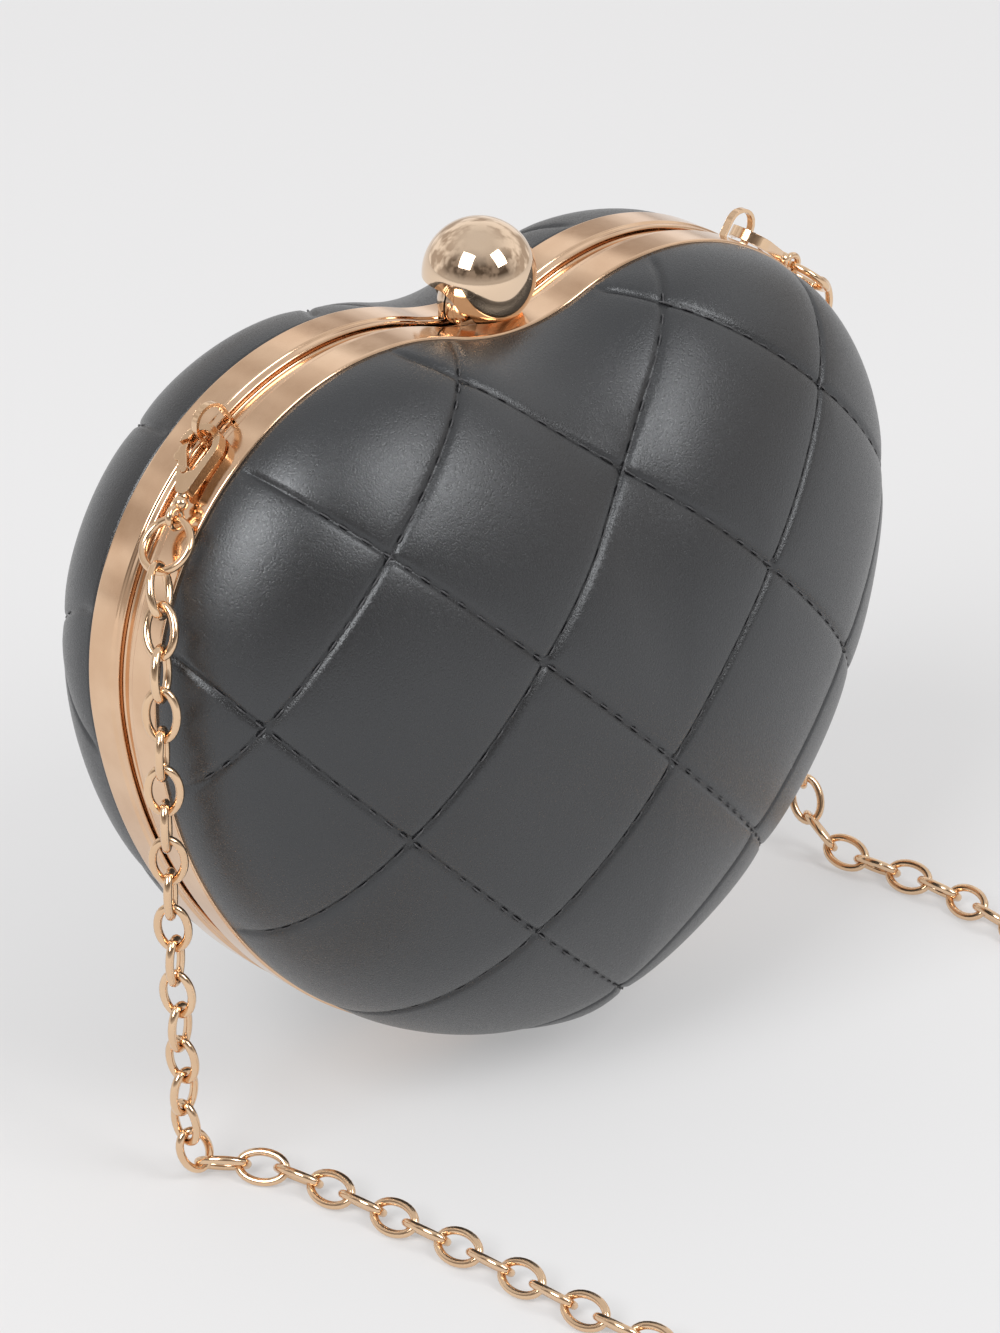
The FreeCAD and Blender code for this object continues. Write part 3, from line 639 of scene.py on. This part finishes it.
# chain strap: its route from the left ring down, round on the floor and up to the right ring
FLOOR_RISE = 2.3897
ROUTE = [
    (-72.959, -7.666, 107.102), (-77.4, -13.2, 98.5), (-79.0, -14.8, 90.5), (-79.4, -15.0, 80.0),
    (-78.4, -14.2, 67.0), (-76.8, -12.8, 52.0), (-75.2, -11.5, 36.0), (-73.9, -10.6, 22.0),
    (-72.9, -9.4, 11.0),
]
ROUTE += [(x, y, FLOOR_RISE) for x, y in (
    (-71.4, -8.2), (-66.4, -12.6), (-61.9, -18.6), (-60.1, -27.0), (-58.6, -37.0), (-56.9, -48.0),
    (-55.2, -60.0), (-54.2, -72.0), (-53.2, -84.0), (-49.9, -104.0), (-42.0, -130.0), (-24.0, -153.0),
    (4.0, -164.0), (34.0, -158.0), (58.0, -140.0), (73.0, -114.0), (79.5, -84.0), (79.6, -60.0),
    (78.6, -45.0), (80.0, -34.0), (78.8, -23.0), (75.8, -12.5))]
ROUTE += [
    (74.6, -2.5, 5.0), (77.2, 2.2, 16.0), (78.6, 3.0, 30.0), (79.2, 2.8, 46.0), (79.4, 2.4, 62.0),
    (79.4, 1.8, 76.0), (79.2, 1.0, 88.0), (77.6, 0.4, 98.5), (75.099, 0.0, 107.635),
]
# links: sizes over the wire, number, gap at each ring and direction across each ring
LINK_LENGTH = 9.2
LINK_WIDTH = 6.2
LINK_WIRE = 1.35
LINKS = 93
END_GAP = 2.55
LEFT_ACROSS = Vector((-0.2683, 0.9455, -0.1844))
RIGHT_ACROSS = Vector((0.0, 1.0, 0.0))
LINK_STEPS = 28
WIRE_SIDES = 12


def route_line():
    """Points of the strap's smooth line, in mm."""
    curve = bpy.data.curves.new("strap_line", "CURVE")
    curve.dimensions = "3D"
    curve.resolution_u = 24
    spline = curve.splines.new("NURBS")
    spline.points.add(len(ROUTE) - 1)
    for point, (x, y, z) in zip(spline.points, ROUTE):
        point.co = (x * MM, y * MM, z * MM, 1.0)
    spline.order_u = 3
    spline.use_endpoint_u = True
    holder = bpy.data.objects.new("strap_line", curve)
    line = bpy.data.meshes.new_from_object(holder)
    points = [v.co / MM for v in line.vertices]
    bpy.data.objects.remove(holder)
    return points


line = route_line()
line_steps = [(b - a).length for a, b in zip(line, line[1:])]
line_runs = np.concatenate(([0.0], np.cumsum(line_steps)))
line_table = np.array([tuple(p) for p in line])


def line_at(distance):
    return Vector([np.interp(distance, line_runs, line_table[:, k]) for k in range(3)])


pitch = (line_runs[-1] - 2 * END_GAP) / (LINKS - 1)
spans = []
for i in range(LINKS):
    near = line_at(END_GAP + (i - 0.5) * pitch)
    far = line_at(END_GAP + (i + 0.5) * pitch)
    spans.append(((near + far) / 2, (far - near).normalized()))
lying = [i for i, (place, heading) in enumerate(spans)
         if abs(heading.z) < 0.7 and place.z < 2 * LINK_LENGTH]
first_down = lying[0]
last_down = lying[-1]


def level_at(i):
    """Direction square to a link that turns steadily along the strap."""
    heading = spans[i][1]
    if i < first_down:
        flat = Vector((spans[first_down][1].x, spans[first_down][1].y, 0.0))
    elif i > last_down:
        flat = Vector((-spans[last_down][1].x, -spans[last_down][1].y, 0.0))
    else:
        flat = Vector((0.0, 0.0, 1.0))
    return (flat - heading * flat.dot(heading)).normalized()


def turn_to(i, wanted, near_angle):
    """Twist, within a quarter turn of an angle, that lays a link's plane across a direction."""
    level = level_at(i)
    angle = math.degrees(math.atan2(spans[i][1].dot(level.cross(wanted)), level.dot(wanted)))
    return near_angle + (angle - near_angle + 90.0) % 180.0 - 90.0


twist_keys = [
    (0, turn_to(0, LEFT_ACROSS, 0.0)), (5, 0.0), (first_down - 10, 0.0), (first_down - 1, 45.0),
    (last_down + 1, 45.0), (LINKS - 1, turn_to(LINKS - 1, RIGHT_ACROSS, 45.0)),
]
twists = np.interp(range(LINKS), [k for k, a in twist_keys], [a for k, a in twist_keys])


def link_path():
    """Points and outward directions round one oval link, in its own plane."""
    long_half = (LINK_LENGTH - LINK_WIRE) / 2
    wide_half = (LINK_WIDTH - LINK_WIRE) / 2
    path = []
    for k in range(LINK_STEPS):
        c = math.cos(2 * math.pi * k / LINK_STEPS)
        s = math.sin(2 * math.pi * k / LINK_STEPS)
        stretch = math.hypot(wide_half * c, long_half * s)
        path.append(((long_half * c, wide_half * s), (wide_half * c / stretch, long_half * s / stretch)))
    return path


def chain():
    path = link_path()
    sides = WIRE_SIDES
    verts = []
    faces = []
    for i, (place, heading) in enumerate(spans):
        sideways = Matrix.Rotation(math.radians(twists[i] + 90.0 * (i % 2)), 3, heading) @ level_at(i)
        wide = heading.cross(sideways).normalized()
        flat = heading.cross(wide)
        base = len(verts)
        for (u, v), (ou, ov) in path:
            middle = place + heading * u + wide * v
            out = heading * ou + wide * ov
            for k in range(sides):
                a = 2 * math.pi * k / sides
                verts.append(middle + (out * math.cos(a) + flat * math.sin(a)) * (LINK_WIRE / 2))
        for j in range(len(path)):
            m = (j + 1) % len(path)
            for k in range(sides):
                n = (k + 1) % sides
                near = base + j * sides
                far = base + m * sides
                faces.append((near + k, near + n, far + n, far + k))
    return mesh_piece("chain_strap", verts, faces, strap_metal, "back")


strap = chain()
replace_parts(strap, "left_hanging_chain", "left_floor_chain", "loop_chain", "right_floor_chain",
            "right_hanging_chain")

# finishes of the carried-over parts
for name, thing in nodes.items():
    if name.endswith("_shell"):
        finish = shell
    elif name == "clasp_ball":
        finish = ball_metal
    elif "lug" in name or name == "clasp_pin":
        finish = clasp_metal
    elif name.startswith(("left_", "right_")):
        finish = strap_metal
    else:
        finish = rim_metal
    if not thing.material_slots:
        thing.data.materials.append(finish)
    for slot in thing.material_slots:
        slot.material = finish


def cast(thing, grain, passes, slim):
    """Soft corners and slimmer sections of a small casting."""
    remesh = thing.modifiers.new("cast", "REMESH")
    remesh.mode = "VOXEL"
    remesh.voxel_size = grain * MM
    remesh.use_smooth_shade = True
    soften_corners = thing.modifiers.new("soft_corners", "SMOOTH")
    soften_corners.factor = 0.5
    soften_corners.iterations = passes
    shrink = thing.modifiers.new("slim", "DISPLACE")
    shrink.mid_level = 0.0
    shrink.strength = -slim * MM


# small castings: voxel size in mm, passes of smoothing and how much they slim in mm
CASTINGS = {"claw_body": (0.12, 10, 0.18), "claw_lever": (0.1, 8, 0.06), "eyelet": (0.1, 6, 0.1)}
for side in ("left", "right"):
    for part, (grain, passes, slim) in CASTINGS.items():
        cast(nodes["%s_%s" % (side, part)], grain, passes, slim)

# floor and light, in metres
FLOOR_HALF = 4.0
FLOOR_LEVEL = -0.0001
PAPER_GLOW = 0.45


def floor_piece():
    """Plain paper floor, which glows a little for the camera and for reflections."""
    mesh = bpy.data.meshes.new("floor")
    corners = ((-1, -1), (1, -1), (1, 1), (-1, 1))
    mesh.from_pydata([(x * FLOOR_HALF, y * FLOOR_HALF, FLOOR_LEVEL) for x, y in corners], [], [(0, 1, 2, 3)])
    floor = bpy.data.objects.new("floor", mesh)
    scene.collection.objects.link(floor)
    material, tree, shader = new_material("paper")
    shader.inputs["Base Color"].default_value = (0.74, 0.74, 0.745, 1.0)
    shader.inputs["Roughness"].default_value = 0.9
    shader.inputs["Specular IOR Level"].default_value = 0.0
    path = add(tree, "ShaderNodeLightPath")
    seen = add(tree, "ShaderNodeMath", operation="MAXIMUM")
    tree.links.new(path.outputs["Is Camera Ray"], seen.inputs[0])
    tree.links.new(path.outputs["Is Glossy Ray"], seen.inputs[1])
    share = ramp(tree, seen.outputs["Value"], 0.0, 1.0, 0.0, PAPER_GLOW)
    glow = add(tree, "ShaderNodeEmission", Color=(0.81, 0.81, 0.815, 1.0))
    mix = add(tree, "ShaderNodeMixShader")
    tree.links.new(share, mix.inputs["Fac"])
    tree.links.new(shader.outputs["BSDF"], mix.inputs[1])
    tree.links.new(glow.outputs["Emission"], mix.inputs[2])
    end = next(n for n in tree.nodes if n.type == "OUTPUT_MATERIAL")
    tree.links.new(mix.outputs["Shader"], end.inputs["Surface"])
    mesh.materials.append(material)


def lamp(name, place, target, width, height, power):
    data = bpy.data.lights.new(name, "AREA")
    data.shape = "RECTANGLE"
    data.size = width
    data.size_y = height
    data.energy = power
    light = bpy.data.objects.new(name, data)
    light.location = place
    light.rotation_euler = (Vector(place) - Vector(target)).to_track_quat("Z", "Y").to_euler()
    scene.collection.objects.link(light)


floor_piece()
LAMP_TARGET = (0, 0, 0.08)
lamp("key_box", (-2.1, -0.48, 2.12), LAMP_TARGET, 1.28, 1.56, 54.0)
lamp("second_box", (0.52, -2.12, 2.08), LAMP_TARGET, 1.16, 1.48, 33.0)


def room():
    """Pale walls and ceiling with a darker, warmer wall before the part."""
    world = bpy.data.worlds.new("room")
    world.use_nodes = True
    tree = world.node_tree
    way = add(tree, "ShaderNodeTexCoord").outputs["Generated"]
    height = add(tree, "ShaderNodeSeparateXYZ")
    tree.links.new(way, height.inputs["Vector"])
    facing = add(tree, "ShaderNodeVectorMath", operation="DOT_PRODUCT")
    facing.inputs[1].default_value = (-0.68, -0.73, 0.0)
    tree.links.new(way, facing.inputs[0])
    patches = ramp(tree, noise(tree, way, 3.2, 2.0), 0.42, 0.58, 0.0, 1.0)
    back_wall = blend_colour(tree, patches, (0.98, 0.98, 0.985), (0.5, 0.46, 0.43))
    front_wall = blend_colour(tree, patches, (0.33, 0.3, 0.28), (0.1, 0.085, 0.075))
    low = ramp(tree, height.outputs["Z"], 0.05, 0.25, 1.0, 0.0)
    front_wall = blend_colour(tree, low, front_wall, (0.55, 0.535, 0.525))
    front = ramp(tree, facing.outputs["Value"], -0.1, 0.45, 0.0, 1.0)
    wall = blend_colour(tree, front, back_wall, front_wall)
    rise = ramp(tree, height.outputs["Z"], 0.55, 0.95, 0.0, 1.0)
    colour = blend_colour(tree, rise, wall, (0.7, 0.7, 0.705))
    tree.links.new(colour, tree.nodes["Background"].inputs["Color"])
    scene.world = world


room()
